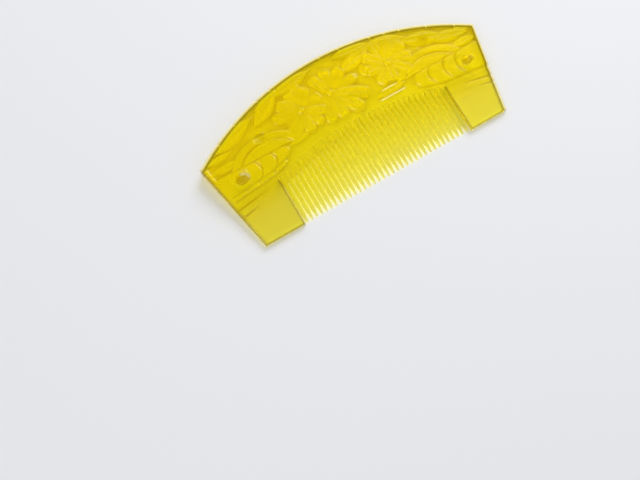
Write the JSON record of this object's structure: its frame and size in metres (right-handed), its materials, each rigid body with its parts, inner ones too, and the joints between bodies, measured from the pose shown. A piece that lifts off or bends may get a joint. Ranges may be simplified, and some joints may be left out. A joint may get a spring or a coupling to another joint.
{
  "type": "kushi comb",
  "caption": "Broad ornamental hair comb in clear yellow plastic, with an arched spine carved with blossoms, leaves and flowing water, guard teeth at both ends and fine teeth between.",
  "frame": {"origin": "centre of the bounding box, on the flat back that the comb lies on", "axes": "+X along the comb to the right seen from the carving, +Y from the tooth tips to the spine, +Z out of the carved front"},
  "size_m": [0.105, 0.047, 0.0055],
  "materials": {
    "yellow_plastic": "polished, clear to cloudy, coloured through"
  },
  "bodies": {
    "root": {"comb": "yellow_plastic"}
  },
  "joints": []
}
